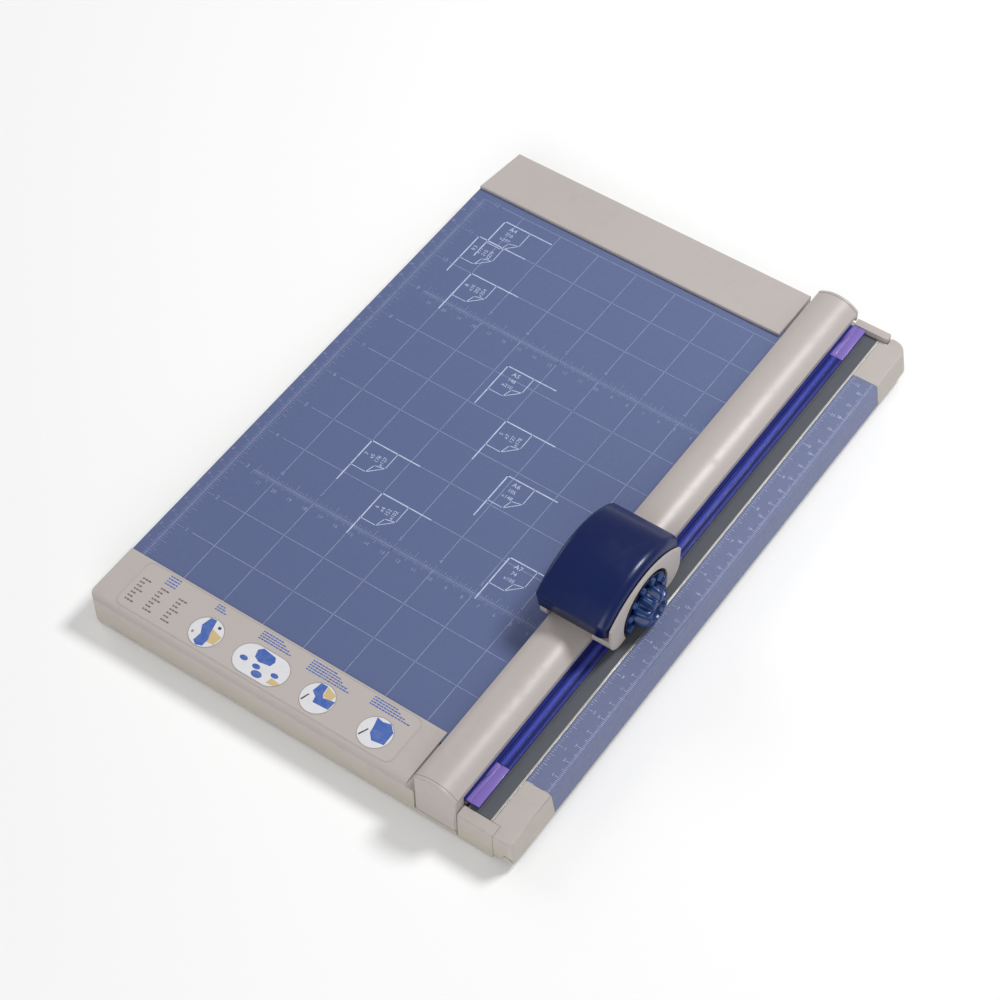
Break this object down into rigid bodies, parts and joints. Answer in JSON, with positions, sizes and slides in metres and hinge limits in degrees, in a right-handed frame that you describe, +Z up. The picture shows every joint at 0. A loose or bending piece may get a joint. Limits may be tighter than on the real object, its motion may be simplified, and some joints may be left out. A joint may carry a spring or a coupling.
{
  "type": "rotary paper trimmer",
  "caption": "Rotary paper trimmer: a ruled blue deck on a beige base, a hinged guide rail with a sliding blade carriage and knob, a side ruler over a storage bay.",
  "frame": {"origin": "on the table under the middle of the base", "axes": "+Z up, +Y towards the far ledge, +X towards the cutting edge"},
  "size_m": [0.2622, 0.3792, 0.0615],
  "materials": {
    "beige_plastic": "fine spark-eroded satin",
    "dark_plastic": "fine texture",
    "blue_plate": "satin enamel with pale printing",
    "blue_ruler": "satin enamel with pale printing",
    "printed_label": "printed film",
    "rubber": "moulded",
    "grey_mat": "smooth matt",
    "steel": "zinc plated",
    "polished_steel": "ground and polished",
    "pale_aluminium": "satin anodised",
    "blue_clamp": "translucent gloss",
    "violet_pad": "satin",
    "navy_plastic": "polished gloss",
    "white_plastic": "moulded",
    "teal_knob": "satin"
  },
  "bodies": {
    "base": {"base_tray": "beige_plastic", "side_trough": "beige_plastic", "trough_ends": "beige_plastic", "bottom_cover": "dark_plastic", "bottom_screws": "steel", "rubber_feet": "rubber", "cutting_plate": "blue_plate", "front_ledge": "beige_plastic", "back_ledge": "beige_plastic", "instruction_label": "printed_label", "mat_channel": "pale_aluminium", "cutting_mat": "grey_mat", "mat_stop_rear": "beige_plastic", "rail_hinge_bracket": "steel", "bracket_screws": "steel", "rail_hinge_pin": "steel", "door_hinge_pins": "steel"},
    "door": {"side_ruler": "blue_ruler", "door_carrier": "dark_plastic", "door_cap_front": "beige_plastic", "door_cap_rear": "beige_plastic"},
    "rail": {"rail_cover": "beige_plastic", "rail_core": "pale_aluminium", "rail_front_block": "beige_plastic", "rail_rear_block": "beige_plastic", "rail_screws": "steel", "clamp_bushes": "rubber"},
    "clamp": {"clamp_strip": "blue_clamp", "clamp_pad_front": "violet_pad", "clamp_pad_rear": "violet_pad", "clamp_studs": "steel"},
    "carriage": {"slider_saddle": "beige_plastic", "slider_shoes": "white_plastic", "return_springs": "steel"},
    "handle": {"carriage_cover": "navy_plastic", "cover_screws": "steel", "cartridge_holder": "navy_plastic", "cartridge_shell": "navy_plastic", "blade_axle": "steel"},
    "blade": {"blade_disc": "polished_steel", "blade_hub": "white_plastic"},
    "knob": {"lock_knob": "teal_knob"}
  },
  "joints": [
    {"name": "rail_hinge", "type": "hinge", "parent": "base", "child": "rail", "pos_m": [0.082, 0.183, 0.027], "axis": [-1, 0, 0], "range_deg": [0, 40]},
    {"name": "door_hinge", "type": "hinge", "parent": "base", "child": "door", "pos_m": [0.1271, 0, 0.0055], "axis": [0, 1, 0], "range_deg": [0, 85]},
    {"name": "clamp_slide", "type": "slide", "parent": "rail", "child": "clamp", "axis": [0, 0, -1], "range_m": [0, 0.0005], "stiffness_N_per_m": 400, "springref_m": -0.0005, "deforming": ["clamp_bushes"]},
    {"name": "carriage_slide", "type": "slide", "parent": "rail", "child": "carriage", "axis": [0, 1, 0], "range_m": [-0.1115, 0.197]},
    {"name": "handle_press", "type": "slide", "parent": "carriage", "child": "handle", "axis": [0, 0, -1], "range_m": [0, 0.00145], "stiffness_N_per_m": 600, "springref_m": -0.003, "deforming": ["return_springs"]},
    {"name": "blade_spin", "type": "hinge", "parent": "handle", "child": "blade", "pos_m": [0.1058, -0.043, 0.0337], "axis": [1, 0, 0], "continuous": true},
    {"name": "knob_turn", "type": "hinge", "parent": "handle", "child": "knob", "pos_m": [0.1138, -0.043, 0.0337], "axis": [1, 0, 0], "range_deg": [0, 60]}
  ],
  "couplings": [
    {"joint": "clamp_slide", "follows": "handle_press", "ratio": 0.3448}
  ]
}
